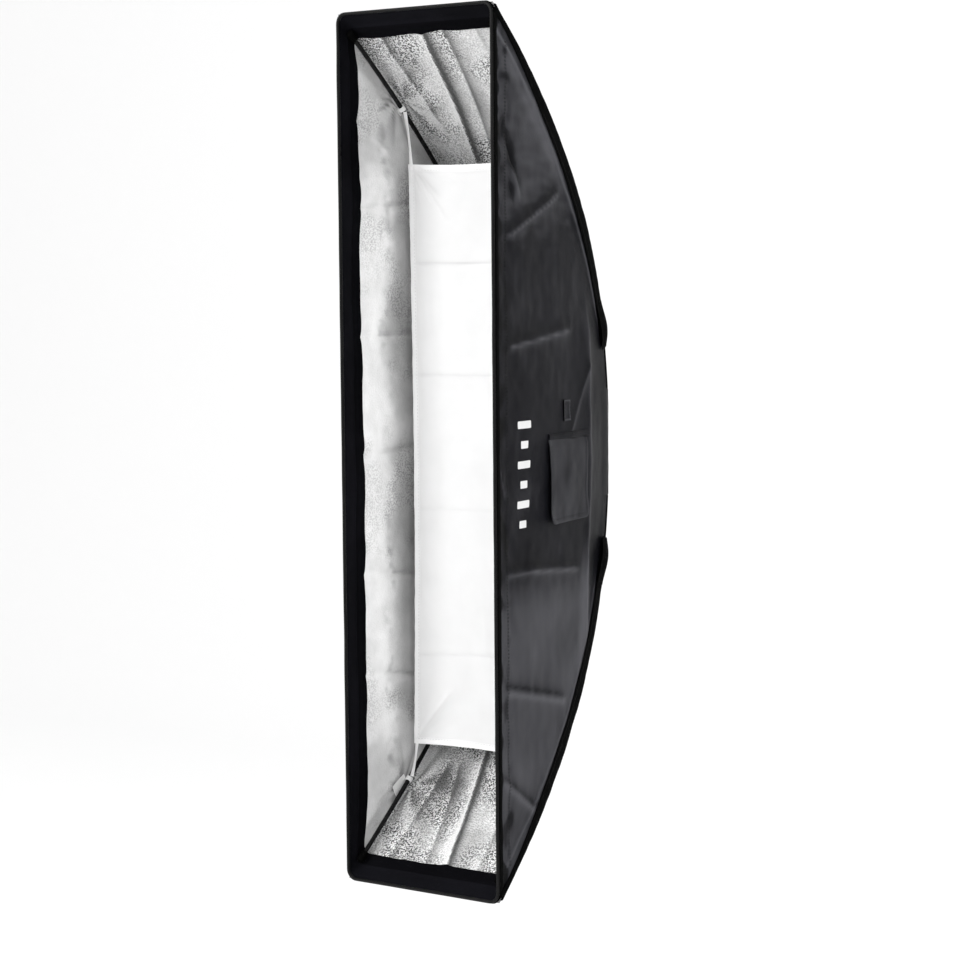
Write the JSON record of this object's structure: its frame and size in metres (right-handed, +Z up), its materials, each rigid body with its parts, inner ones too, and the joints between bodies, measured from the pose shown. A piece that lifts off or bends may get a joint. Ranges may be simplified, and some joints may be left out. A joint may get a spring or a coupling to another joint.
{
  "type": "strip softbox",
  "caption": "Tall narrow fabric softbox with a silver lining, flexed rods, a recessed hook-and-loop lip, an inner baffle and a rotating speedring for a studio strobe.",
  "frame": {"origin": "centre of the plane where the adapter's rear flange meets the strobe", "axes": "+Y along the adapter's axis, towards the strobe; the open front faces -Y; +Z up along the long side; +X towards the side with the access flap"},
  "size_m": [0.3094, 0.4575, 1.4214],
  "materials": {
    "black_nylon": "matt nylon with a faint sheen, silver-coated inside",
    "black_tape": "black woven tape",
    "lip_loop": "black loop fabric",
    "piping": "dark grey piping",
    "rod": "black coated glass-fibre spring rod",
    "white_elastic": "white woven elastic",
    "white_diffuser": "white translucent diffusion cloth",
    "hook_tape": "black hook-and-loop tape",
    "black_metal": "black anodised, satin",
    "bare_metal": "machined satin",
    "screw_steel": "plated",
    "black_plastic": "moulded, satin"
  },
  "bodies": {
    "adapter": {"adapter_insert": "bare_metal", "retainer_ring": "bare_metal", "retainer_screw_1": "screw_steel", "retainer_screw_2": "screw_steel", "retainer_screw_3": "screw_steel", "bayonet_lug_1": "bare_metal", "bayonet_lug_2": "bare_metal", "bayonet_lug_3": "bare_metal"},
    "softbox": {"side_panel_left": "black_nylon", "side_panel_right": "black_nylon", "top_panel": "black_nylon", "bottom_panel": "black_nylon", "back_collar": "black_tape", "front_binding": "piping", "speedring_body": "black_metal", "access_loop_strip": "hook_tape", "stitched_patch": "black_tape", "lip_left": "lip_loop", "lip_right": "lip_loop", "lip_top": "lip_loop", "lip_bottom": "lip_loop", "rod_sleeve_top_left": "black_tape", "rod_sleeve_top_right": "black_tape", "rod_sleeve_bottom_left": "black_tape", "rod_sleeve_bottom_right": "black_tape", "rod_keeper_top_left": "black_tape", "rod_keeper_top_right": "black_tape", "rod_keeper_bottom_left": "black_tape", "rod_keeper_bottom_right": "black_tape", "rod_top_left": "rod", "rod_top_right": "rod", "rod_bottom_left": "rod", "rod_bottom_right": "rod", "corner_pocket_top_left": "black_tape", "corner_pocket_top_right": "black_tape", "corner_pocket_bottom_left": "black_tape", "corner_pocket_bottom_right": "black_tape", "tie_loop_top_left": "white_elastic", "tie_loop_top_right": "white_elastic", "tie_loop_bottom_left": "white_elastic", "tie_loop_bottom_right": "white_elastic", "rod_socket_top_left": "bare_metal", "rod_socket_top_right": "bare_metal", "rod_socket_bottom_left": "bare_metal", "rod_socket_bottom_right": "bare_metal"},
    "rod_lock_top_left": {"rod_lock_screw_top_left": "black_plastic"},
    "rod_lock_top_right": {"rod_lock_screw_top_right": "black_plastic"},
    "rod_lock_bottom_left": {"rod_lock_screw_bottom_left": "black_plastic"},
    "rod_lock_bottom_right": {"rod_lock_screw_bottom_right": "black_plastic"},
    "rotation_lock": {"rotation_lock_knob": "black_plastic"},
    "access_flap": {"access_flap": "black_nylon", "access_hook_strip": "hook_tape"},
    "rear_flap_top": {"rear_flap_top": "black_nylon"},
    "rear_flap_bottom": {"rear_flap_bottom": "black_nylon"},
    "baffle": {"inner_baffle": "white_diffuser", "baffle_tie_top_left": "white_elastic", "baffle_tie_top_right": "white_elastic", "baffle_tie_bottom_left": "white_elastic", "baffle_tie_bottom_right": "white_elastic"}
  },
  "joints": [
    {"name": "softbox_rotation", "type": "hinge", "parent": "adapter", "child": "softbox", "pos_m": [0, 0, 0], "axis": [0, 1, 0], "continuous": true},
    {"name": "access_flap_hinge", "type": "hinge", "parent": "softbox", "child": "access_flap", "pos_m": [0.13482, -0.19824, 0.02], "axis": [0.1401, -0.9901, 0], "range_deg": [0, 150]},
    {"name": "rear_flap_top_hinge", "type": "hinge", "parent": "softbox", "child": "rear_flap_top", "pos_m": [0, -0.04793, 0.23565], "axis": [1, 0, 0], "range_deg": [0, 120]},
    {"name": "rear_flap_bottom_hinge", "type": "hinge", "parent": "softbox", "child": "rear_flap_bottom", "pos_m": [0, -0.04793, -0.23565], "axis": [-1, 0, 0], "range_deg": [0, 120]},
    {"name": "baffle_pull_out", "type": "slide", "parent": "softbox", "child": "baffle", "axis": [0, -1, 0], "range_m": [0, 0.25]},
    {"name": "rod_lock_top_left_turn", "type": "hinge", "parent": "softbox", "child": "rod_lock_top_left", "pos_m": [-0.05633, -0.0272, 0.06747], "axis": [0, -1, 0], "range_deg": [0, 360]},
    {"name": "rod_lock_top_right_turn", "type": "hinge", "parent": "softbox", "child": "rod_lock_top_right", "pos_m": [0.05633, -0.0272, 0.06747], "axis": [0, -1, 0], "range_deg": [0, 360]},
    {"name": "rod_lock_bottom_left_turn", "type": "hinge", "parent": "softbox", "child": "rod_lock_bottom_left", "pos_m": [-0.05633, -0.0272, -0.06747], "axis": [0, -1, 0], "range_deg": [0, 360]},
    {"name": "rod_lock_bottom_right_turn", "type": "hinge", "parent": "softbox", "child": "rod_lock_bottom_right", "pos_m": [0.05633, -0.0272, -0.06747], "axis": [0, -1, 0], "range_deg": [0, 360]},
    {"name": "rotation_lock_turn", "type": "hinge", "parent": "softbox", "child": "rotation_lock", "pos_m": [0, -0.0124, -0.0722], "axis": [0, 1, 0], "range_deg": [0, 360]}
  ]
}
